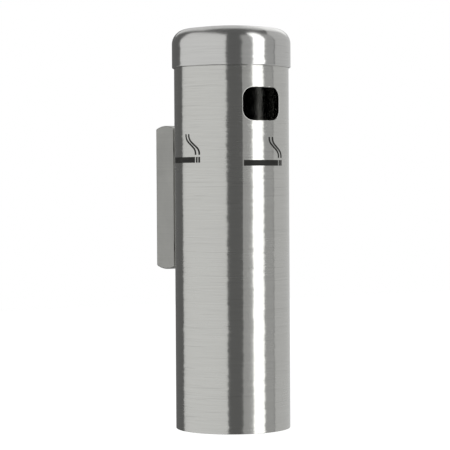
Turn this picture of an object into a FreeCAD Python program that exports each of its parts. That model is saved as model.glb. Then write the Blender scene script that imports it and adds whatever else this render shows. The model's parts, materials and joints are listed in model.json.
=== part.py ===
import FreeCAD, Part
import math
import os

import Sketcher

# Wall-mounted tubular ash bin.
# Frame: the wall face is y = 0 and the front faces -Y; +Z is up.  The origin is the middle of the
# two wall-fixing holes.  Five things move on the fixed wall tray: the tube lifts off its hook,
# the cap lifts off the tube, the liner lifts out, its bail swings, and the cam lock turns.

V = FreeCAD.Vector
doc = FreeCAD.newDocument("ash_bin")

# ---------------------------------------------------------------- driving dimensions (mm)
DIMENSIONS = {
    # tube
    "tube_radius": 38.05, "sheet": 1.0, "axis_y": -61, "tube_bottom": -153.3, "tube_top": 101.7,
    # cap
    "cap_radius": 39.4, "cap_rim": 85.7, "cap_height": 27.8, "cap_shoulder": 10, "cap_crown": 2,
    "collar_radius": 36.4, "collar_bottom": 88.7, "gasket_height": 1.2,
    # aperture
    "aperture_width": 27.9, "aperture_height": 21.4, "aperture_corner": 6.8, "aperture_z": 60.9,
    # wall tray
    "tray_width": 45, "tray_height": 97.4, "tray_depth": 23, "tray_sheet": 1.5,
    "tray_bend": 1.2, "tray_crown": 2,
    "fixing_spacing": 60, "fixing_radius": 2.75, "keyhole_radius": 6.5,
    # hook and hanger
    "hook_width": 20, "hook_shelf": 6.5, "hook_lip": 18, "hook_reach": 8.4,
    "hanger_width": 30, "hanger_bottom": -44, "hanger_top": 32, "hanger_back": -4.6,
    "window_width": 25, "lift": 12, "gap": 0.3,
    "standoff_flats": 8, "standoff_low": -19, "standoff_high": 26,
    "rubber": 6,
    # lock
    "lock_y": -12.7, "barrel_radius": 4, "lock_head_radius": 5.7, "plug_radius": 2.8, "cam_reach": 12.3,
    "cam_width": 7, "cam_z": -37.5, "slot_reach": 3.5, "running": 0.05,
    # base and liner
    "base_z": -150.3, "pad_height": 2, "liner_radius": 33, "liner_sheet": 0.8, "liner_rim": 40.7,
    "ear_width": 10, "bail_z": 44.7, "bail_radius": 28.5, "bail_wire": 1.5,
    # pictograms
    "edge_break": 0.35, "rim_break": 0.8, "print_thickness": 0.12, "print_bar_z": 20.7, "print_bar_height": 3.7,
}

sheet = doc.addObject("Spreadsheet::Sheet", "Dims")
for row, (alias, value) in enumerate(DIMENSIONS.items(), start=1):
    sheet.set("A%d" % row, alias)
    sheet.set("B%d" % row, str(value))
    sheet.setAlias("B%d" % row, alias)
doc.recompute()


def size(alias):
    """Value of one sheet cell, in millimetres."""
    return float(sheet.get(alias))


def cell(text):
    """Expression text with every alias looked up in the sheet."""
    out = ""
    word = ""
    for letter in str(text) + " ":
        if letter.isalnum() or letter == "_" or letter == ".":
            word += letter
        else:
            out += ("Dims." + word if word in DIMENSIONS else word) + letter
            word = ""
    return out.strip()


def value(text):
    """Number that an expression over the sheet's aliases stands for."""
    probe = FreeCAD.ActiveDocument.getObject("Dims")
    return float(probe.evalExpression(cell(text)))


# ---------------------------------------------------------------- Part primitives
PARTS = []


def bind(obj, **expressions):
    """Bind properties to the sheet; a double underscore in a keyword stands for a dot."""
    for name, text in expressions.items():
        obj.setExpression(name.replace("__", "."), cell(text))
    return obj


def place(obj, x=0, y=0, z=0):
    return bind(obj, Placement__Base__x=x, Placement__Base__y=y, Placement__Base__z=z)


def box(name, length, width, height, x, y, z):
    made = doc.addObject("Part::Box", name)
    bind(made, Length=length, Width=width, Height=height)
    return place(made, x, y, z)


def cylinder(name, radius, height, x, y, z, axis=V(0, 0, 1)):
    made = doc.addObject("Part::Cylinder", name)
    made.Placement = FreeCAD.Placement(V(), FreeCAD.Rotation(V(0, 0, 1), axis))
    bind(made, Radius=radius, Height=height)
    return place(made, x, y, z)


def hexagon(name, flats, height, x, y, z, axis=V(0, 0, 1)):
    made = doc.addObject("Part::Prism", name)
    made.Polygon = 6
    made.Placement = FreeCAD.Placement(V(), FreeCAD.Rotation(V(0, 0, 1), axis))
    bind(made, Circumradius="(%s) / sqrt(3)" % flats, Height=height)
    return place(made, x, y, z)


def cut(name, base, tool):
    made = doc.addObject("Part::Cut", name)
    made.Base = base
    made.Tool = tool
    return made


def fuse(name, pieces):
    made = doc.addObject("Part::MultiFuse", name)
    made.Shapes = pieces
    return made


def group(name, pieces):
    """Identical separate solids that share one node."""
    made = doc.addObject("Part::Compound", name)
    made.Links = pieces
    return made


def part(obj, label):
    """Register a finished sub-part: its label names its file."""
    obj.Label = label
    PARTS.append(obj)
    return obj


# ---------------------------------------------------------------- PartDesign helpers
def new_body(label, x=0, y=0, z=0):
    body = doc.addObject("PartDesign::Body", label + "_body")
    place(body, x, y, z)
    return part(body, label)


def new_sketch(body, role, name, offset=None):
    sketch = body.newObject("Sketcher::SketchObject", name)
    plane = [f for f in body.Origin.OriginFeatures if f.Role == role][0]
    sketch.AttachmentSupport = [(plane, "")]
    sketch.MapMode = "FlatFace"
    if offset:
        sketch.setExpression("AttachmentOffset.Base.z", cell(offset))
    return sketch


def pin_point(sketch, geometry, end, x, y):
    """Fix one end of an edge at x, y, both given as expressions."""
    for kind, text, axis in (("DistanceX", x, -2), ("DistanceY", y, -1)):
        number = value(text)
        if abs(number) < 1e-9:
            sketch.addConstraint(Sketcher.Constraint("PointOnObject", geometry, end, axis))
            continue
        index = sketch.addConstraint(Sketcher.Constraint(kind, -1, 1, geometry, end, number))
        sketch.setExpression("Constraints[%d]" % index, cell(text))


def outline(sketch, corners, arcs=None):
    """Closed outline through corners (pairs of expressions).

    arcs maps a side's number to a radius expression: that side is an arc with its centre on the
    left of the way from its first corner to its second, or on the right when the radius has a
    leading minus sign.
    """
    arcs = arcs or {}
    points = [V(value(x), value(y), 0) for x, y in corners]
    ends = []
    for side, start in enumerate(points):
        stop = points[(side + 1) % len(points)]
        if side not in arcs:
            index = sketch.addGeometry(Part.LineSegment(start, stop))
            ends.append((index, 1, 2))
            continue
        radius = value(arcs[side])
        chord = stop - start
        left = V(-chord.y, chord.x, 0).normalize()
        height = math.sqrt(max(radius ** 2 - (chord.Length / 2) ** 2, 0))
        centre = (start + stop) * 0.5 + left * math.copysign(height, radius)
        first, last = (start, stop) if radius > 0 else (stop, start)
        angles = [math.atan2(p.y - centre.y, p.x - centre.x) for p in (first, last)]
        circle = Part.Circle(centre, V(0, 0, 1), abs(radius))
        index = sketch.addGeometry(Part.ArcOfCircle(circle, angles[0], angles[1]))
        ends.append((index, 1, 2) if radius > 0 else (index, 2, 1))
    for side, (index, first, last) in enumerate(ends):
        following = ends[(side + 1) % len(ends)]
        sketch.addConstraint(Sketcher.Constraint("Coincident", index, last, following[0], following[1]))
        pin_point(sketch, index, first, corners[side][0], corners[side][1])
        if side in arcs:
            rule = sketch.addConstraint(Sketcher.Constraint("Radius", index, abs(value(arcs[side]))))
            sketch.setExpression("Constraints[%d]" % rule, cell("abs(%s)" % arcs[side]))


def circle(sketch, x, y, radius):
    index = sketch.addGeometry(Part.Circle(V(value(x), value(y), 0), V(0, 0, 1), value(radius)))
    pin_point(sketch, index, 3, x, y)
    rule = sketch.addConstraint(Sketcher.Constraint("Radius", index, value(radius)))
    sketch.setExpression("Constraints[%d]" % rule, cell(radius))


def rectangle(sketch, x0, y0, x1, y1):
    outline(sketch, [(x0, y0), (x1, y0), (x1, y1), (x0, y1)])


def rounded_rectangle(sketch, width, height, radius, y):
    """Rounded rectangle centred on x = 0 at height y."""
    right = "%s / 2" % width
    inner_x = "%s / 2 - %s" % (width, radius)
    low, high = "%s - %s / 2" % (y, height), "%s + %s / 2" % (y, height)
    inner_low, inner_high = "%s + %s" % (low, radius), "%s - %s" % (high, radius)
    corners = [("-(%s)" % inner_x, low), (inner_x, low), (right, inner_low), (right, inner_high),
               (inner_x, high), ("-(%s)" % inner_x, high), ("-(%s)" % right, inner_high),
               ("-(%s)" % right, inner_low)]
    outline(sketch, corners, {side: radius for side in (1, 3, 5, 7)})


def pad(body, sketch, length, symmetric=False, reverse=False):
    made = body.newObject("PartDesign::Pad", sketch.Name + "_pad")
    made.Profile = sketch
    made.Midplane = symmetric
    made.Reversed = reverse
    made.setExpression("Length", cell(length))
    doc.recompute()
    return made


def pocket(body, sketch, length, reverse=False, symmetric=False):
    """Cut a sketch out of the body and check that it removed material."""
    before = body.Shape.Volume
    made = body.newObject("PartDesign::Pocket", sketch.Name + "_pocket")
    made.Profile = sketch
    made.Midplane = symmetric
    made.Reversed = reverse
    made.setExpression("Length", cell(length))
    doc.recompute()
    if not body.Shape.Volume < before - 1e-3:
        raise RuntimeError(sketch.Name + " removed nothing")
    return made


def revolve(body, sketch):
    made = body.newObject("PartDesign::Revolution", sketch.Name + "_turned")
    made.Profile = sketch
    made.ReferenceAxis = (sketch, ["V_Axis"])
    made.Angle = 360
    doc.recompute()
    return made


def turned(label, corners, arcs=None, z=0):
    """Body of revolution about the tube's axis from a half section of radius, height corners."""
    body = new_body(label, 0, "axis_y", z)
    sketch = new_sketch(body, "XZ_Plane", label + "_section")
    outline(sketch, corners, arcs)
    revolve(body, sketch)
    return body


def edges_where(shape, test):
    return ["Edge%d" % (i + 1) for i, edge in enumerate(shape.Edges) if test(edge)]


def fillet(body, feature, names, radius):
    made = body.newObject("PartDesign::Fillet", feature.Name + "_fillet")
    made.Base = (feature, names)
    made.setExpression("Radius", cell(radius))
    doc.recompute()
    return made


# ---------------------------------------------------------------- wall side
def lies_at_y(edge, y):
    return all(abs(vertex.Y - y) < 0.01 for vertex in edge.Vertexes)


def wall_tray():
    """Pressed tray screwed to the wall, open to the front, with crowned ends; it hides the hook."""
    body = new_body("wall_tray")
    blank = new_sketch(body, "YZ_Plane", "tray_blank")
    crown_radius = "(tray_depth / 2) ^ 2 / (2 * tray_crown) + tray_crown / 2"
    corner = "tray_height / 2 - tray_crown"
    profile = [("0", "-(%s)" % corner), ("0", corner), ("-tray_depth", corner),
               ("-tray_depth", "-(%s)" % corner)]
    outline(blank, profile, {1: crown_radius, 3: crown_radius})
    solid = pad(body, blank, "tray_width", symmetric=True)
    front = -size("tray_depth")
    bends = edges_where(body.Shape, lambda e: not lies_at_y(e, front))
    fillet(body, solid, bends, "tray_bend")
    hollow = new_sketch(body, "YZ_Plane", "tray_hollow")
    inner = corner + " - tray_sheet"
    inner_profile = [("-tray_sheet", "-(%s)" % inner), ("-tray_sheet", inner), ("-tray_depth - 1", inner),
                     ("-tray_depth - 1", "-(%s)" % inner)]
    inner_radius = crown_radius + " - tray_sheet"
    outline(hollow, inner_profile, {1: inner_radius, 3: inner_radius})
    pocket(body, hollow, "tray_width - 2 * tray_sheet", symmetric=True)
    holes = new_sketch(body, "XZ_Plane", "tray_holes")
    for sign in ("", "-"):
        circle(holes, "0", sign + "fixing_spacing / 2", "fixing_radius")
    rectangle(holes, "-cam_width / 2 - 1.5", "cam_z - slot_reach", "cam_width / 2 + 4.5",
              "cam_z - 1.5 + slot_reach")
    pocket(body, holes, "tray_sheet * 3", symmetric=True)
    keyhole = new_sketch(body, "XY_Plane", "tray_keyhole", "-tray_height / 2")
    circle(keyhole, "0", "lock_y", "keyhole_radius")
    pocket(body, keyhole, "tray_sheet * 4", symmetric=True)
    relief = new_sketch(body, "XY_Plane", "tray_relief")
    circle(relief, "0", "axis_y", "tube_radius + 0.4")
    pocket(body, relief, "tray_height * 2", symmetric=True)


def hook():
    """Z-shaped hook welded to the tray: foot on the web, shelf forward, lip up."""
    body = new_body("hook")
    section = new_sketch(body, "YZ_Plane", "hook_section")
    back, web = "-tray_sheet", "-tray_sheet * 2"
    corners = [(back, "-hook_shelf"), (back, "hook_shelf + tray_sheet"),
               ("-hook_reach + tray_sheet", "hook_shelf + tray_sheet"),
               ("-hook_reach + tray_sheet", "hook_lip"), ("-hook_reach", "hook_lip"),
               ("-hook_reach", "hook_shelf"), (web, "hook_shelf"), (web, "-hook_shelf")]
    outline(section, corners)
    pad(body, section, "hook_width", symmetric=True)


def rubber_buffers():
    """Four rubber blocks inside the tray's side walls that stop the tube from rattling."""
    blocks = []
    inner = "tray_width / 2 - tray_sheet"
    for side, x in (("left", "-(%s)" % inner), ("right", inner + " - 4")):
        for level, z in (("low", "-tray_height / 2 + 12"), ("high", "tray_height / 2 - 18")):
            block = box("buffer_%s_%s" % (side, level), "4", "11", "rubber", x, "axis_y + 31", z)
            bore = cylinder("buffer_relief_%s_%s" % (side, level), "tube_radius + gap", "rubber + 2",
                            "0", "axis_y", "%s - 1" % z)
            blocks.append(cut("buffer_cut_%s_%s" % (side, level), block, bore))
    part(group("buffers", blocks), "rubber_buffers")


# ---------------------------------------------------------------- tube and base
def is_outer_tube_edge(edge):
    """True for the tube's outer edges round the aperture and at its foot, in the body's own frame."""
    radius = size("tube_radius")
    spots = [edge.valueAt(edge.FirstParameter + share * (edge.LastParameter - edge.FirstParameter))
             for share in (0, 0.3, 1)]
    local = [V(p.x, p.y - size("axis_y"), p.z) for p in spots]
    on_skin = all(abs(math.hypot(p.x, p.y) - radius) < 0.01 for p in local)
    at_foot = all(abs(p.z - size("tube_bottom")) < 0.01 for p in local)
    half_height = size("aperture_height") / 2 + 0.01
    at_mouth = all(abs(p.z - size("aperture_z")) < half_height for p in local)
    return on_skin and (at_foot or at_mouth)


def outer_tube():
    body = new_body("outer_tube", 0, "axis_y", 0)
    ring = new_sketch(body, "XY_Plane", "tube_ring", "tube_bottom")
    circle(ring, "0", "0", "tube_radius")
    circle(ring, "0", "0", "tube_radius - sheet")
    pad(body, ring, "tube_top - tube_bottom")
    mouth = new_sketch(body, "XZ_Plane", "tube_aperture")
    rounded_rectangle(mouth, "aperture_width", "aperture_height", "aperture_corner", "aperture_z")
    cutout = pocket(body, mouth, "tube_radius + 5", reverse=True)
    fillet(body, cutout, edges_where(body.Shape, is_outer_tube_edge), "edge_break")
    bores = new_sketch(body, "XZ_Plane", "tube_screw_holes")
    for z in ("standoff_low", "standoff_high"):
        circle(bores, "0", z, "2.6")
    pocket(body, bores, "tube_radius + 5")


def base_cup():
    """Pressed bottom, flange down, held inside the tube, with three drain holes."""
    outer, inner = "tube_radius - sheet - 0.05", "tube_radius - sheet - 1.05"
    body = turned("base_cup", [("0", "0"), ("0", "-1"), (inner, "-1"), (inner, "-2.5"),
                               (outer, "-2.5"), (outer, "0")], z="base_z")
    drain = new_sketch(body, "XY_Plane", "base_drain")
    circle(drain, "0", "22", "2.5")
    hole = pocket(body, drain, "6", symmetric=True)
    spread = body.newObject("PartDesign::PolarPattern", "base_drains")
    spread.Originals = [hole]
    spread.Axis = (drain, ["N_Axis"])
    spread.Angle = 360
    spread.Occurrences = 3
    body.Tip = spread
    doc.recompute()


def liner_pads():
    """Three rubber discs on the base that the liner stands on."""
    discs = []
    for index in range(3):
        angle = math.radians(120 * index + 30)
        disc = cylinder("liner_pad_%d" % index, "4.5", "pad_height", "%.4f" % (27 * math.cos(angle)),
                        "axis_y + %.4f" % (27 * math.sin(angle)), "base_z")
        discs.append(disc)
    part(group("liner_pad_set", discs), "liner_pads")


# ---------------------------------------------------------------- hanger on the tube's back
def hanger_plate():
    """Plate behind the tube: its window drops over the hook and its shelf carries the lock."""
    body = new_body("hanger_plate")
    face = new_sketch(body, "YZ_Plane", "hanger_section")
    back, front = "hanger_back", "hanger_back - tray_sheet"
    shelf = "axis_y + tube_radius + 0.5"
    corners = [(back, "hanger_bottom"), (back, "hanger_top"), (front, "hanger_top"),
               (front, "hanger_bottom + tray_sheet"), (shelf, "hanger_bottom + tray_sheet"),
               (shelf, "hanger_bottom")]
    outline(face, corners)
    pad(body, face, "hanger_width", symmetric=True)
    window = new_sketch(body, "XZ_Plane", "hanger_window")
    rectangle(window, "-window_width / 2", "hook_shelf - lift - gap - 1.5",
              "window_width / 2", "hook_shelf + tray_sheet + gap")
    rectangle(window, "-cam_width / 2 - 1", "cam_z - 2.5", "cam_reach + 1.2", "cam_z + 1")
    pocket(body, window, "20", symmetric=True)
    bores = new_sketch(body, "XZ_Plane", "hanger_bores")
    for z in ("standoff_low", "standoff_high"):
        circle(bores, "0", z, "2.6")
    pocket(body, bores, "20", symmetric=True)
    lock_hole = new_sketch(body, "XY_Plane", "hanger_lock_hole", "hanger_bottom")
    circle(lock_hole, "0", "lock_y", "barrel_radius + 0.1")
    pocket(body, lock_hole, "6", symmetric=True)


def hanger_fixings():
    """Two stand-off pillars with a screw from inside the tube and one from the wall side."""
    pillars, inner_screws, saddles, outer_screws = [], [], [], []
    forward = V(0, -1, 0)
    front = "hanger_back - tray_sheet"
    for level in ("low", "high"):
        z = "standoff_" + level
        pillar = hexagon("pillar_" + level, "standoff_flats", "-axis_y - tube_radius + %s + 0.3" % front,
                         "0", front, z, forward)
        tube = cylinder("pillar_relief_" + level, "tube_radius + 0.02", "12", "0", "axis_y", z + " - 6")
        bore = cylinder("pillar_bore_" + level, "2.5", "30", "0", "0", z, forward)
        pillars.append(cut("pillar_bored_" + level, cut("pillar_fit_" + level, pillar, tube), bore))
        washer = cylinder("saddle_disc_" + level, "5.5", "2.65", "0", "axis_y + tube_radius", z, forward)
        outside = cylinder("saddle_core_" + level, "tube_radius - sheet - 0.02", "14", "0", "axis_y", z + " - 7")
        lens = doc.addObject("Part::MultiCommon", "saddle_lens_" + level)
        lens.Shapes = [washer, outside]
        hole = cylinder("saddle_hole_" + level, "2.6", "30", "0", "axis_y + tube_radius + 5", z, forward)
        saddles.append(cut("saddle_" + level, lens, hole))
        face_y = "axis_y + tube_radius - 2.7"
        head = cylinder("inner_head_" + level, "4.2", "2", "0", face_y, z, forward)
        shank = cylinder("inner_shank_" + level, "2.4", "6", "0", face_y + " + 6", z, forward)
        inner_screws.append(fuse("inner_screw_" + level, [head, shank]))
        low_head = cylinder("outer_head_" + level, "4.2", "1.5", "0", "hanger_back + 1.5", z, forward)
        low_shank = cylinder("outer_shank_" + level, "2.4", "5.5", "0", "hanger_back", z, forward)
        outer_screws.append(fuse("outer_screw_" + level, [low_head, low_shank]))
    part(group("pillar_pair", pillars), "hanger_pillars")
    part(group("saddle_pair", saddles), "saddle_washers")
    part(group("inner_screw_pair", inner_screws), "tube_screws")
    part(group("outer_screw_pair", outer_screws), "hanger_screws")


# ---------------------------------------------------------------- cam lock
def cam_lock():
    """Small cam lock, plug down, turned with a key from below through the tray's bottom hole."""
    shelf_top = "hanger_bottom + tray_sheet"
    head = cylinder("lock_head", "lock_head_radius", "1.8", "0", "lock_y", "hanger_bottom - 1.8")
    shank = cylinder("lock_shank", "barrel_radius", "cam_z - 1.7 - hanger_bottom", "0", "lock_y",
                     "hanger_bottom")
    bore = cylinder("lock_bore", "plug_radius + running", "20", "0", "lock_y", "hanger_bottom - 5")
    part(cut("lock_barrel_cut", fuse("lock_barrel_solid", [head, shank]), bore), "lock_barrel")
    nut = hexagon("lock_nut_blank", "11", "2.6", "0", "lock_y", shelf_top + " + 0.05")
    nut_bore = cylinder("lock_nut_bore", "barrel_radius", "5", "0", "lock_y", shelf_top + " - 1")
    part(cut("lock_nut_cut", nut, nut_bore), "lock_nut")
    plug = cylinder("plug_pin", "plug_radius", "cam_z - 1.5 - hanger_bottom + 1.6", "0", "lock_y",
                    "hanger_bottom - 1.6")
    slot = box("plug_keyway", "0.9", "3.6", "4", "-0.45", "lock_y - 1.8", "hanger_bottom - 3")
    part(cut("plug_cut", plug, slot), "lock_plug")
    cam = new_body("lock_cam", 0, "lock_y", "cam_z - 1.5")
    shape = new_sketch(cam, "XY_Plane", "cam_outline")
    half = "cam_width / 2"
    outline(shape, [("0", "-(%s)" % half), ("cam_reach", "-(%s)" % half), ("cam_reach", half), ("0", half)],
            {3: "cam_width * 0.55"})
    pad(cam, shape, "1.5")
    screw_head = cylinder("cam_screw_head", "2.4", "1.6", "0", "lock_y", "cam_z + 0.05")
    part(screw_head, "cam_screw")


# ---------------------------------------------------------------- cap
def is_cap_rim(edge):
    """True for the outer edge of the cap's lower rim."""
    spot = edge.valueAt(edge.FirstParameter)
    out = math.hypot(spot.x, spot.y - size("axis_y"))
    return abs(out - size("cap_radius")) < 0.01 and abs(spot.z - size("cap_rim")) < 0.01


def cap():
    """Deep-drawn cap with a low crown, a locating collar and a rubber ring that rests on the tube."""
    flat = "cap_height - cap_crown"
    flank = "cap_height - cap_crown - cap_shoulder"
    crown = "((cap_radius - cap_shoulder) ^ 2 + cap_crown ^ 2) / (2 * cap_crown)"
    shoulder_x = "cap_radius - cap_shoulder"
    corners = [("cap_radius - sheet", "0"), ("cap_radius", "0"), ("cap_radius", flank), (shoulder_x, flat),
               ("0", "cap_height"), ("0", "cap_height - sheet"), (shoulder_x, flat + " - sheet"),
               ("cap_radius - sheet", flank)]
    shell = turned("cap_shell", corners, {2: "cap_shoulder", 3: crown, 5: "-(%s)" % crown,
                                          6: "-(cap_shoulder - sheet)"}, z="cap_rim")
    fillet(shell, shell.Tip, edges_where(shell.Shape, is_cap_rim), "rim_break")
    turned("cap_collar", [("collar_radius - sheet", "collar_bottom"), ("collar_radius", "collar_bottom"),
                          ("collar_radius", "cap_rim + %s + 5.3" % flank),
                          ("collar_radius - sheet", "cap_rim + %s + 5.3" % flank)])
    turned("cap_gasket", [("collar_radius + 0.1", "tube_top + gap"), ("tube_radius - 0.1", "tube_top + gap"),
                          ("tube_radius - 0.1", "tube_top + gap + gasket_height"),
                          ("collar_radius + 0.1", "tube_top + gap + gasket_height")])


# ---------------------------------------------------------------- liner
def liner():
    """Lift-out can with two riveted ears and a swinging wire bail."""
    floor = "base_z + pad_height + gap"
    inner = "liner_radius - liner_sheet"
    can = turned("liner_can", [("0", floor), ("liner_radius", floor), ("liner_radius", "liner_rim"),
                               (inner, "liner_rim"), (inner, floor + " + liner_sheet"),
                               ("0", floor + " + liner_sheet")])
    holes = new_sketch(can, "YZ_Plane", "liner_rivet_holes")
    circle(holes, "0", "liner_rim - 8", "1.6")
    pocket(can, holes, "liner_radius * 3", symmetric=True)
    ears, rivets = [], []
    for side, sign in (("left", -1), ("right", 1)):
        ring = cylinder("ear_ring_" + side, inner, "22", "0", "axis_y", "liner_rim - 14")
        core = cylinder("ear_core_" + side, "liner_radius - liner_sheet - 1.2", "24", "0", "axis_y",
                        "liner_rim - 15")
        slab_x = "0" if sign > 0 else "-40"
        slab = box("ear_slab_" + side, "40", "ear_width", "22", slab_x, "axis_y - ear_width / 2",
                   "liner_rim - 14")
        sector = doc.addObject("Part::MultiCommon", "ear_sector_" + side)
        sector.Shapes = [cut("ear_shell_" + side, ring, core), slab]
        along = V(sign, 0, 0)
        eye = cylinder("ear_eye_" + side, "bail_wire + running", "40", "0", "axis_y", "bail_z", along)
        rivet_hole = cylinder("ear_hole_" + side, "1.6", "40", "0", "axis_y", "liner_rim - 8", along)
        ears.append(cut("ear_%s" % side, cut("ear_eyed_" + side, sector, eye), rivet_hole))
        shaft = cylinder("rivet_shaft_" + side, "1.5", "liner_sheet + 2.2", "%d * (liner_radius - 2.6)" % sign,
                         "axis_y", "liner_rim - 8", along)
        inner_head = cylinder("rivet_head_" + side, "2.8", "1", "%d * (liner_radius - 3.3)" % sign,
                              "axis_y", "liner_rim - 8", along)
        rivets.append(fuse("rivet_" + side, [shaft, inner_head]))
    part(group("ear_pair", ears), "liner_ears")
    part(group("rivet_pair", rivets), "ear_rivets")
    bail()


def bail():
    """Half-round wire bail, folded back level with its pivots."""
    arch = doc.addObject("Part::Torus", "bail_arch")
    arch.Angle3 = 180
    bind(arch, Radius1="bail_radius", Radius2="bail_wire")
    place(arch, 0, "axis_y", "bail_z")
    pieces = [arch]
    for side, sign in (("left", -1), ("right", 1)):
        elbow = doc.addObject("Part::Sphere", "bail_elbow_" + side)
        bind(elbow, Radius="bail_wire")
        place(elbow, "%d * bail_radius" % sign, "axis_y", "bail_z")
        pin = cylinder("bail_pin_" + side, "bail_wire", "5.5", "%d * bail_radius" % sign, "axis_y",
                       "bail_z", V(sign, 0, 0))
        pieces += [elbow, pin]
    part(fuse("bail_wireform", pieces), "liner_bail")


# ---------------------------------------------------------------- printed pictograms
# Two plain parallel wisps that drift left as they rise from the burning end.
SMOKE_STARTS = (-3.4, -0.6)
SMOKE_FOOT, SMOKE_RISE = 1.4, 13.5
SMOKE_DRIFT, SMOKE_SWAY = 8.5, 1.5
SMOKE_STEPS = 8
SMOKE_STROKE = 1.1
BAR_SPANS = ((-30.3, -3.9), (-3.0, -1.9), (-1.2, 0))
SYMBOL_RIGHT_END = 15.95
SKIN_MIDDLE = 30
FRONT_SYMBOL_FACING, SIDE_SYMBOL_FACING = 1, 90.5
LEFT_SYMBOL_RAISED = 2.2


def stroke(points, width):
    """Flat ribbon of even width along a smooth line through points."""
    curve = Part.BSplineCurve()
    curve.interpolate([V(x, y, 0) for x, y in points])
    count = 6 * len(points)
    first, last = curve.FirstParameter, curve.LastParameter
    sides = [[], []]
    for step in range(count + 1):
        parameter = first + (last - first) * step / count
        tangent = curve.tangent(parameter)[0]
        across = V(-tangent.y, tangent.x, 0) * (width / 2)
        middle = curve.value(parameter)
        sides[0].append(middle + across)
        sides[1].append(middle - across)
    edges = []
    for side in sides:
        border = Part.BSplineCurve()
        border.interpolate(side)
        edges.append(border.toShape())
    edges.append(Part.makeLine(sides[0][0], sides[1][0]))
    edges.append(Part.makeLine(sides[0][-1], sides[1][-1]))
    return Part.Face(Part.Wire(Part.__sortEdges__(edges)))


def wisp(start):
    """Points of one wisp of smoke: one full wave of a sine along a leaning line."""
    points = []
    for step in range(SMOKE_STEPS + 1):
        share = step / SMOKE_STEPS
        x = start - SMOKE_DRIFT * share + SMOKE_SWAY * math.sin(2 * math.pi * share)
        points.append((x, SMOKE_FOOT + SMOKE_RISE * share))
    return points


def cigarette_symbol():
    """Flat symbol with its right end at x = 0 and the top of its bar at y = 0."""
    faces = [stroke(wisp(start), SMOKE_STROKE) for start in SMOKE_STARTS]
    for left, right in BAR_SPANS:
        corners = [V(left, -size("print_bar_height"), 0), V(right, -size("print_bar_height"), 0),
                   V(right, 0, 0), V(left, 0, 0)]
        faces.append(Part.Face(Part.makePolygon(corners + corners[:1])))
    return faces


def pictogram(label, facing, raised=0):
    """Symbol printed on the tube, facing so many degrees round from the front."""
    radius = size("tube_radius")
    height = 2 * SKIN_MIDDLE
    skin = Part.makeCylinder(radius + size("print_thickness"), height)
    skin = skin.cut(Part.makeCylinder(radius + 0.005, height))
    solids = []
    for face in cigarette_symbol():
        upright = face.copy()
        upright.rotate(V(), V(1, 0, 0), 90)
        upright.translate(V(SYMBOL_RIGHT_END, 0, SKIN_MIDDLE))
        solids += upright.extrude(V(0, -2 * radius, 0)).common(skin).Solids
    made = doc.addObject("Part::Feature", label)
    made.Shape = Part.makeCompound(solids)
    base = V(0, size("axis_y"), size("print_bar_z") + raised + size("print_bar_height") - SKIN_MIDDLE)
    made.Placement = FreeCAD.Placement(base, FreeCAD.Rotation(V(0, 0, 1), facing))
    part(made, label)


# ---------------------------------------------------------------- build, check and write
wall_tray()
hook()
rubber_buffers()
outer_tube()
base_cup()
liner_pads()
hanger_plate()
hanger_fixings()
cam_lock()
cap()
liner()
pictogram("front_pictogram", FRONT_SYMBOL_FACING)
pictogram("left_pictogram", -SIDE_SYMBOL_FACING, raised=LEFT_SYMBOL_RAISED)
pictogram("right_pictogram", SIDE_SYMBOL_FACING)

doc.recompute()
for obj in doc.Objects:
    if "Invalid" in obj.State or "Error" in obj.State:
        raise RuntimeError("%s failed: %s" % (obj.Label, obj.State))

os.makedirs("parts", exist_ok=True)
for obj in PARTS:
    if obj.Shape.isNull() or not obj.Shape.isValid():
        raise RuntimeError("%s has no valid shape" % obj.Label)
    obj.Shape.exportStep("parts/%s.step" % obj.Label)
    box_of = obj.Shape.BoundBox
    print("%-18s %2d solids %9.1f mm3  x %.1f..%.1f y %.1f..%.1f z %.1f..%.1f" % (
        obj.Label, len(obj.Shape.Solids), obj.Shape.Volume, box_of.XMin, box_of.XMax,
        box_of.YMin, box_of.YMax, box_of.ZMin, box_of.ZMax))
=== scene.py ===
# Wall-mounted tubular ash bin: looks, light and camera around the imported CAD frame.
import json
import math

import bpy
from mathutils import Matrix, Vector


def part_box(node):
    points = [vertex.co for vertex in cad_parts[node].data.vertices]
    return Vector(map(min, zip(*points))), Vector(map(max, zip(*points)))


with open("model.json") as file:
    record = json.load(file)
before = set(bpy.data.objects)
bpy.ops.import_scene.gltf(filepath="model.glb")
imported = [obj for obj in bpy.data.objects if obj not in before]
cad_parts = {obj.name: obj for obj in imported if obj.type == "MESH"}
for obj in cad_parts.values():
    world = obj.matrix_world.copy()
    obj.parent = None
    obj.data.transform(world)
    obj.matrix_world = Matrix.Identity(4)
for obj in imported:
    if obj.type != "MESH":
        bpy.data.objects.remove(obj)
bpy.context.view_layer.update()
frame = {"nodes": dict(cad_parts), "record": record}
NODES = frame["nodes"]

# ------------------------------------------------------------------ places, from the frame
MM = 0.001
tube_low, tube_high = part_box("outer_tube")
cap_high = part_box("cap_shell")[1]
TUBE_RADIUS = (tube_high.x - tube_low.x) / 2
AXIS = Vector(((tube_low.x + tube_high.x) / 2, (tube_low.y + tube_high.y) / 2, 0))

# ------------------------------------------------------------------ camera
CAMERA_AZIMUTH = -33.0
CAMERA_DISTANCE = 1.276
CAMERA_HEIGHT = 0.163
CAMERA_PITCH = -1.26
CAMERA_PAN = 0.215
CAMERA_ROLL = -0.34
CAMERA_LENS = 153.4
CAMERA_SENSOR = 36.0
CAMERA_NEAR, CAMERA_FAR = 0.01, 50.0


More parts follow.
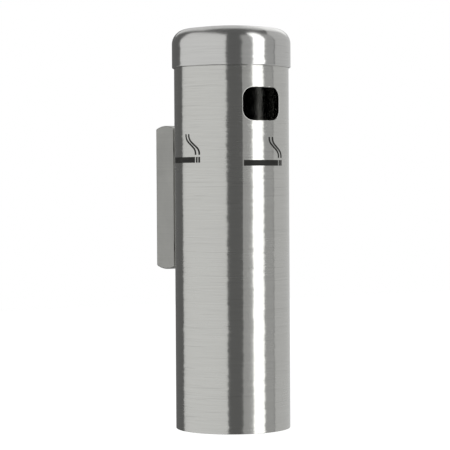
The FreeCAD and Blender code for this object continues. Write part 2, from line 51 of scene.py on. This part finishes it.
def make_camera():
    """Camera round the tube's axis; returns the level direction from the object towards it."""
    azimuth = math.radians(CAMERA_AZIMUTH)
    toward = Vector((math.sin(azimuth), -math.cos(azimuth), 0))
    data = bpy.data.cameras.new("camera")
    data.lens = CAMERA_LENS
    data.sensor_width = CAMERA_SENSOR
    data.clip_start, data.clip_end = CAMERA_NEAR, CAMERA_FAR
    camera = bpy.data.objects.new("camera", data)
    camera.location = AXIS + toward * CAMERA_DISTANCE + Vector((0, 0, tube_low.z + CAMERA_HEIGHT))
    pitch, pan, roll = (math.radians(angle) for angle in (CAMERA_PITCH, CAMERA_PAN, CAMERA_ROLL))
    forward = Matrix.Rotation(pan, 3, "Z") @ -toward
    forward = (forward + Vector((0, 0, math.tan(pitch)))).normalized()
    turn = forward.to_track_quat("-Z", "Y").to_matrix() @ Matrix.Rotation(roll, 3, "Z")
    camera.rotation_mode = "QUATERNION"
    camera.rotation_quaternion = turn.to_quaternion()
    bpy.context.scene.collection.objects.link(camera)
    bpy.context.scene.camera = camera
    return toward


# ------------------------------------------------------------------ node helpers
class Tree:
    """Short way to build a node tree: tree.add(type, setting=value) and tree.link(a, b)."""

    def __init__(self, owner):
        owner.use_nodes = True
        self.tree = owner.node_tree
        self.tree.nodes.clear()

    def add(self, kind, inputs=None, **settings):
        node = self.tree.nodes.new(kind)
        for name, value in settings.items():
            setattr(node, name, value)
        for name, value in (inputs or {}).items():
            if isinstance(value, bpy.types.NodeSocket):
                self.tree.links.new(value, node.inputs[name])
            else:
                node.inputs[name].default_value = value
        return node

    def link(self, source, target):
        self.tree.links.new(source, target)

    def math(self, operation, first, second):
        return self.add("ShaderNodeMath", {0: first, 1: second}, operation=operation).outputs[0]


# ------------------------------------------------------------------ light
# Soft boxes stand round the object like cards round a product table.  Each row is its name, the
# directions it spans, in degrees round from the camera towards the camera's right, its distance in
# metres, and its brightness.
SOFT_BOXES = (
    ("left_box", -116, -10, 1.0, 0.70),
    ("right_wall", 20, 90, 1.5, 0.32),
    ("right_strip", 42, 66, 1.1, 1.75),
    ("back_box", 92, 176, 1.3, 0.48),
)
BOX_HEIGHT = 3.4
OVERHEAD_SIZE, OVERHEAD_RISE, OVERHEAD_BACK, OVERHEAD_BRIGHTNESS = 1.8, 1.3, 1.2, 0.62
ROOM_BRIGHTNESS = 0.15
BACKDROP_BRIGHTNESS = 1.0
WHITE = (1, 1, 1, 1)
FLOOR_DROP = 1.4
FLOOR_SIZE = 40.0
FLOOR_COLOUR = (0.9, 0.9, 0.9, 1)
FLOOR_ROUGHNESS = 0.9
FLOOR_GLOW = 0.95
OBJECT_MIDDLE = AXIS + Vector((0, 0, (tube_low.z + cap_high.z) / 2))


def add_soft_box(name, place, width, height, brightness):
    """Rectangular area light that faces the object; brightness is what a mirror would show."""
    data = bpy.data.lights.new(name, "AREA")
    data.shape = "RECTANGLE"
    data.size, data.size_y = width, height
    data.energy = brightness * math.pi * width * height
    light = bpy.data.objects.new(name, data)
    light.location = place
    light.rotation_mode = "QUATERNION"
    light.rotation_quaternion = (OBJECT_MIDDLE - place).to_track_quat("-Z", "Y")
    light.visible_camera = False
    bpy.context.scene.collection.objects.link(light)


def make_lights(toward):
    for name, first, last, distance, brightness in SOFT_BOXES:
        turn = math.radians((first + last) / 2)
        half_span = math.radians((last - first) / 2)
        place = OBJECT_MIDDLE + Matrix.Rotation(turn, 3, "Z") @ toward * distance
        add_soft_box(name, place, 2 * distance * math.tan(half_span), BOX_HEIGHT, brightness)
    overhead = OBJECT_MIDDLE - toward * OVERHEAD_BACK + Vector((0, 0, OVERHEAD_RISE))
    add_soft_box("overhead_box", overhead, OVERHEAD_SIZE, OVERHEAD_SIZE, OVERHEAD_BRIGHTNESS)


def make_world():
    """White backdrop to look at, dim even room light on the object."""
    world = bpy.data.worlds.new("studio")
    bpy.context.scene.world = world
    tree = Tree(world)
    room = tree.add("ShaderNodeBackground", {"Color": WHITE, "Strength": ROOM_BRIGHTNESS})
    backdrop = tree.add("ShaderNodeBackground", {"Color": WHITE, "Strength": BACKDROP_BRIGHTNESS})
    ray = tree.add("ShaderNodeLightPath")
    mix = tree.add("ShaderNodeMixShader", {0: ray.outputs["Is Camera Ray"], 1: room.outputs[0],
                                           2: backdrop.outputs[0]})
    output = tree.add("ShaderNodeOutputWorld")
    tree.link(mix.outputs[0], output.inputs["Surface"])


def make_floor():
    """Plain pale floor, well below the object because it hangs on a wall.

    It glows enough to look as white as the backdrop, and the steel doesn't mirror it.
    """
    mesh = bpy.data.meshes.new("floor")
    half = FLOOR_SIZE / 2
    corners = [(-half, -half, 0), (half, -half, 0), (half, half, 0), (-half, half, 0)]
    mesh.from_pydata(corners, [], [(0, 1, 2, 3)])
    floor = bpy.data.objects.new("floor", mesh)
    floor.location = (0, 0, tube_low.z - FLOOR_DROP)
    bpy.context.scene.collection.objects.link(floor)
    material = bpy.data.materials.new("floor_white")
    tree = Tree(material)
    shader = tree.add("ShaderNodeBsdfPrincipled", {
        "Base Color": FLOOR_COLOUR, "Roughness": FLOOR_ROUGHNESS,
        "Emission Color": WHITE, "Emission Strength": FLOOR_GLOW})
    output = tree.add("ShaderNodeOutputMaterial")
    tree.link(shader.outputs[0], output.inputs[0])
    mesh.materials.append(material)
    floor.visible_glossy = False


# ------------------------------------------------------------------ materials
# Lengths in patterns are in millimetres.  ACROSS is a grain so long that a pattern on the tube
# doesn't change through its sheet.
PER_METRE = 1000
ACROSS = 60
QUARTER_TURN = 0.25

TUBE_COLOUR = (0.60, 0.60, 0.575)
CAP_COLOUR = (0.59, 0.59, 0.575)
TRAY_COLOUR = (0.485, 0.485, 0.462)
HIDDEN_SHEET_COLOUR = (0.50, 0.50, 0.485)
LINER_COLOUR = (0.42, 0.41, 0.39)
SCREW_COLOUR = (0.60, 0.60, 0.58)
CHROME_COLOUR = (0.74, 0.75, 0.76)
BRASS_COLOUR = (0.70, 0.54, 0.30)
RUBBER_COLOUR = (0.03, 0.03, 0.029)
INK_COLOUR = (0.009, 0.009, 0.008)

TUBE_ROUGHNESS = 0.245
CAP_ROUGHNESS = 0.20
LINER_ROUGHNESS = 0.42
STEEL_RELIEF = 0.0022
# Painted sheen: the tube's colour is raised by this factor under its outer skin, on the cut edges and the
# inside wall, fully from 0.10 mm under the skin and fading out by 0.03 mm.
POLISH_PAINTED_SHEEN = 1.25
SHEEN_FULL_DEPTH, SHEEN_END_DEPTH = 0.10, 0.03
# The tube's inside wall is made darker, fully from 0.6 mm under the outer skin, fading out by 0.3 mm.
INSIDE_DARK_FULL, INSIDE_DARK_END = 0.6, 0.3
# The liner's colour is darker towards the bottom, between these heights in millimetres.
DARKEST_HEIGHT, DARKENING_TOP = -150, 20


class Surface(Tree):
    """Material under construction, with the coordinates its patterns are drawn in.

    Patterns are laid out in millimetres in the node's own frame, so that they ride with it.
    """

    def __init__(self, name, metallic):
        self.material = bpy.data.materials.new(name)
        super().__init__(self.material)
        self.shader = self.add("ShaderNodeBsdfPrincipled")
        self.shader.inputs["Metallic"].default_value = metallic
        output = self.add("ShaderNodeOutputMaterial")
        self.link(self.shader.outputs[0], output.inputs[0])
        own = self.add("ShaderNodeTexCoord").outputs["Object"]
        self.position = self.vector("MULTIPLY", own, (PER_METRE, PER_METRE, PER_METRE))

    def vector(self, operation, first, second):
        return self.add("ShaderNodeVectorMath", {0: first, 1: second}, operation=operation).outputs[0]

    def around_axis(self):
        """Position unrolled off the tube: (run round the axis, distance from it, height)."""
        local = self.vector("SUBTRACT", self.position, AXIS * PER_METRE)
        parts = self.add("ShaderNodeSeparateXYZ", {0: local})
        angle = self.math("ARCTAN2", parts.outputs["X"], self.math("MULTIPLY", parts.outputs["Y"], -1))
        run = self.math("MULTIPLY", angle, TUBE_RADIUS * PER_METRE)
        flat = self.vector("MULTIPLY", local, (1, 1, 0))
        reach = self.add("ShaderNodeVectorMath", {0: flat}, operation="LENGTH").outputs["Value"]
        return self.add("ShaderNodeCombineXYZ", {0: run, 1: reach, 2: parts.outputs["Z"]}).outputs[0]

    def noise(self, where, lengths, detail=2.0, offset=0.0):
        """Noise from 0 to 1 whose grain has the given lengths in millimetres."""
        scaled = self.vector("MULTIPLY", where, tuple(1 / length for length in lengths))
        moved = self.vector("ADD", scaled, (offset, offset, offset))
        node = self.add("ShaderNodeTexNoise", {"Vector": moved, "Scale": 1.0, "Detail": detail})
        return node.outputs["Fac"]

    def spread(self, value, low, high, source_low=0.3, source_high=0.7):
        """Value stretched from its source range to another, clamped."""
        ends = {"Value": value, "From Min": source_low, "From Max": source_high,
                "To Min": low, "To Max": high}
        return self.add("ShaderNodeMapRange", ends).outputs[0]

    def product(self, *values):
        result = values[0]
        for value in values[1:]:
            result = self.math("MULTIPLY", result, value)
        return result

    def tint(self, colour, share):
        """Base colour made of one colour times a pattern."""
        grey = self.add("ShaderNodeCombineXYZ", {0: share, 1: share, 2: share}).outputs[0]
        self.link(self.vector("MULTIPLY", grey, colour), self.shader.inputs["Base Color"])

    def roughen(self, value):
        self.link(value, self.shader.inputs["Roughness"])

    def bump(self, height, depth, normal=None):
        """Relief of so many millimetres of depth."""
        inputs = {"Height": height, "Strength": 1.0, "Distance": depth * MM}
        if normal is not None:
            inputs["Normal"] = normal
        relief = self.add("ShaderNodeBump", inputs).outputs[0]
        self.link(relief, self.shader.inputs["Normal"])

    def sway(self, value, reach):
        """Normal turned sideways, round the upright axis, by a pattern: wavy sheet."""
        normal = self.add("ShaderNodeNewGeometry").outputs["Normal"]
        sideways = self.vector("CROSS_PRODUCT", normal, (0, 0, 1))
        amount = self.spread(value, -reach, reach)
        push = self.add("ShaderNodeVectorMath", {0: sideways, "Scale": amount}, operation="SCALE").outputs[0]
        total = self.vector("ADD", normal, push)
        return self.add("ShaderNodeVectorMath", {0: total}, operation="NORMALIZE").outputs[0]

    def grain_round_axis(self, strength):
        """Brushing that runs round the upright axis."""
        self.shader.inputs["Anisotropic"].default_value = strength
        self.shader.inputs["Anisotropic Rotation"].default_value = QUARTER_TURN
        tangent = self.add("ShaderNodeTangent", direction_type="RADIAL", axis="Z")
        self.link(tangent.outputs[0], self.shader.inputs["Tangent"])


def brushed_steel(name, colour, roughness, anisotropic, wave):
    """Stainless sheet brushed round the axis: fine streaks, long scratches, soft wear and a slight wave.

    Returns the surface, its unrolled position and its pattern of light and dark.
    """
    surface = Surface(name, 1.0)
    surface.grain_round_axis(anisotropic)
    where = surface.around_axis()
    streaks = surface.noise(where, (26, ACROSS, 0.22), 3.0)
    lines = surface.noise(where, (55, ACROSS, 0.75), 2.0, 7.3)
    scratches = surface.noise(where, (30, ACROSS, 0.5), 0.0, 31.0)
    wear = surface.noise(where, (34, ACROSS, 22), 3.0, 3.1)
    patches = surface.noise(where, (5, ACROSS, 7), 2.0, 17.0)
    scratch = surface.spread(scratches, 1.0, 0.92, 0.70, 0.76)
    share = surface.product(surface.spread(streaks, 0.965, 1.035), surface.spread(lines, 0.982, 1.018),
                            surface.spread(wear, 0.985, 1.015), scratch)
    rough = surface.product(surface.spread(streaks, 0.92, 1.09), surface.spread(wear, 0.93, 1.07),
                            surface.spread(patches, 0.97, 1.03))
    surface.tint(colour, share)
    surface.roughen(surface.math("MULTIPLY", rough, roughness))
    wavy = surface.sway(surface.noise(where, (14, ACROSS, 2.2), 3.0, 11.0), wave)
    surface.bump(streaks, STEEL_RELIEF, wavy)
    return surface, where, share


def tube_steel():
    """Brushed outside with polished cut edges, whose shine is painted in as a brighter colour that also
    covers the inside wall; the inside wall is darker as well.
    """
    surface, where, share = brushed_steel("tube_steel", TUBE_COLOUR, TUBE_ROUGHNESS, 1.0, 0.012)
    reach = surface.add("ShaderNodeSeparateXYZ", {0: where}).outputs["Y"]
    radius = TUBE_RADIUS * PER_METRE
    # The inside wall's colour is made darker by a noise pattern.
    outside = surface.spread(reach, 0, 1, radius - INSIDE_DARK_FULL, radius - INSIDE_DARK_END)
    inner = surface.spread(surface.noise(where, (7, ACROSS, 10), 4.0, 23.0), 0.40, 0.62)
    kept = surface.math("MULTIPLY_ADD", outside, surface.math("SUBTRACT", 1.0, inner))
    surface.link(inner, kept.node.inputs[2])
    # Painted sheen: colour brightened under the outer skin, on the cut edges and the inside wall, in place
    # of polish shine.
    edge_sheen = surface.spread(reach, POLISH_PAINTED_SHEEN, 1.0, radius - SHEEN_FULL_DEPTH, radius - SHEEN_END_DEPTH)
    surface.tint(TUBE_COLOUR, surface.product(share, kept, edge_sheen))
    return surface.material


def satin_sheet(name, colour, roughness, grain):
    """Folded or pressed stainless sheet with a straight satin grain."""
    surface = Surface(name, 1.0)
    where = surface.position
    streaks = surface.noise(where, grain, 3.0)
    clouds = surface.noise(where, (18, 18, 26), 3.0, 5.0)
    marks = surface.noise(where, (2.5, 2.5, 3.5), 4.0, 9.0)
    pattern = surface.product(surface.spread(streaks, 0.95, 1.05), surface.spread(clouds, 0.96, 1.04),
                              surface.spread(marks, 0.985, 1.015))
    surface.tint(colour, pattern)
    rough = surface.product(surface.spread(streaks, 0.9, 1.12), surface.spread(clouds, 0.9, 1.1))
    surface.roughen(surface.math("MULTIPLY", rough, roughness))
    surface.bump(streaks, 0.004)
    return surface.material


def stained_liner():
    """Inner can: dull drawn steel with darker, rougher blotches, and darker towards the bottom."""
    surface = Surface("liner_steel", 1.0)
    surface.grain_round_axis(0.5)
    where = surface.around_axis()
    streaks = surface.noise(where, (20, ACROSS, 0.4), 3.0)
    soot = surface.noise(where, (9, ACROSS, 14), 4.0, 2.0)
    runs = surface.noise(where, (2.5, ACROSS, 60), 3.0, 8.0)
    height = surface.add("ShaderNodeSeparateXYZ", {0: where}).outputs["Z"]
    # Colour darker towards the bottom: 0.55 at the lowest height, full at the top one.
    darker_low = surface.spread(height, 0.55, 1.0, DARKEST_HEIGHT, DARKENING_TOP)
    share = surface.product(surface.spread(streaks, 0.94, 1.06), surface.spread(soot, 0.82, 1.06),
                            surface.spread(runs, 0.93, 1.03), darker_low)
    surface.tint(LINER_COLOUR, share)
    rough = surface.product(surface.spread(soot, 1.2, 0.9), surface.spread(streaks, 0.9, 1.1))
    surface.roughen(surface.math("MULTIPLY", rough, LINER_ROUGHNESS))
    surface.bump(surface.product(streaks, soot), 0.006)
    return surface.material


def turned_metal(name, colour, roughness, tarnish):
    """Small machined or plated part: tool rings, small pits and a little tarnish."""
    surface = Surface(name, 1.0)
    where = surface.position
    rings = surface.noise(where, (0.25, 0.25, 0.25), 2.0)
    clouds = surface.noise(where, (3, 3, 3), 4.0, 4.0)
    surface.tint(colour, surface.product(surface.spread(clouds, 1 - tarnish, 1.03),
                                         surface.spread(rings, 0.97, 1.03)))
    surface.roughen(surface.math("MULTIPLY", surface.spread(clouds, 1.3, 0.85), roughness))
    surface.bump(rings, 0.004)
    return surface.material


def moulded_rubber():
    """Black rubber: faint mould grain, greyer where it has bloomed."""
    surface = Surface("rubber", 0.0)
    grain = surface.noise(surface.position, (0.3, 0.3, 0.3), 3.0)
    bloom = surface.noise(surface.position, (4, 4, 6), 4.0, 6.0)
    surface.tint(RUBBER_COLOUR, surface.spread(bloom, 0.7, 1.5))
    surface.roughen(surface.spread(bloom, 0.6, 0.8))
    surface.bump(grain, 0.02)
    return surface.material


def screen_print():
    """Black ink on brushed steel: the brushing shows through as faint lines, and the ink is thinner in
    patches.
    """
    surface = Surface("print_black", 0.0)
    where = surface.around_axis()
    streaks = surface.noise(where, (18, ACROSS, 0.3), 3.0)
    thin = surface.noise(where, (4, ACROSS, 1.6), 3.0, 12.0)
    surface.tint(INK_COLOUR, surface.product(surface.spread(streaks, 0.7, 1.4),
                                             surface.spread(thin, 0.7, 1.5)))
    surface.roughen(surface.spread(streaks, 0.40, 0.52))
    surface.shader.inputs["Specular IOR Level"].default_value = 0.22
    surface.bump(streaks, 0.002)
    return surface.material


def make_materials():
    """Every material by the slot name that the record gives."""
    return {
        "tube_steel": tube_steel(),
        "cap_steel": brushed_steel("cap_steel", CAP_COLOUR, CAP_ROUGHNESS, 0.85, 0.014)[0].material,
        "tray_steel": satin_sheet("tray_steel", TRAY_COLOUR, 0.45, (60, 60, 0.3)),
        "plain_steel": satin_sheet("plain_steel", HIDDEN_SHEET_COLOUR, 0.38, (0.3, 0.3, 40)),
        "liner_steel": stained_liner(),
        "fastener_steel": turned_metal("fastener_steel", SCREW_COLOUR, 0.30, 0.12),
        "lock_chrome": turned_metal("lock_chrome", CHROME_COLOUR, 0.14, 0.08),
        "lock_brass": turned_metal("lock_brass", BRASS_COLOUR, 0.28, 0.22),
        "rubber": moulded_rubber(),
        "print_black": screen_print(),
    }


def dress_nodes():
    """Put each node's material in its slots; the cap shell has its own steel, a little smoother."""
    materials = make_materials()
    slots = {part["node"]: part["material_slot"] for part in frame["record"]["subparts"]}
    slots["cap_shell"] = "cap_steel"
    for name, node in NODES.items():
        for wearer in node.material_slots:
            wearer.material = materials[slots[name]]


toward_camera = make_camera()
make_lights(toward_camera)
make_world()
make_floor()
dress_nodes()

bpy.context.scene.view_settings.view_transform = "Standard"
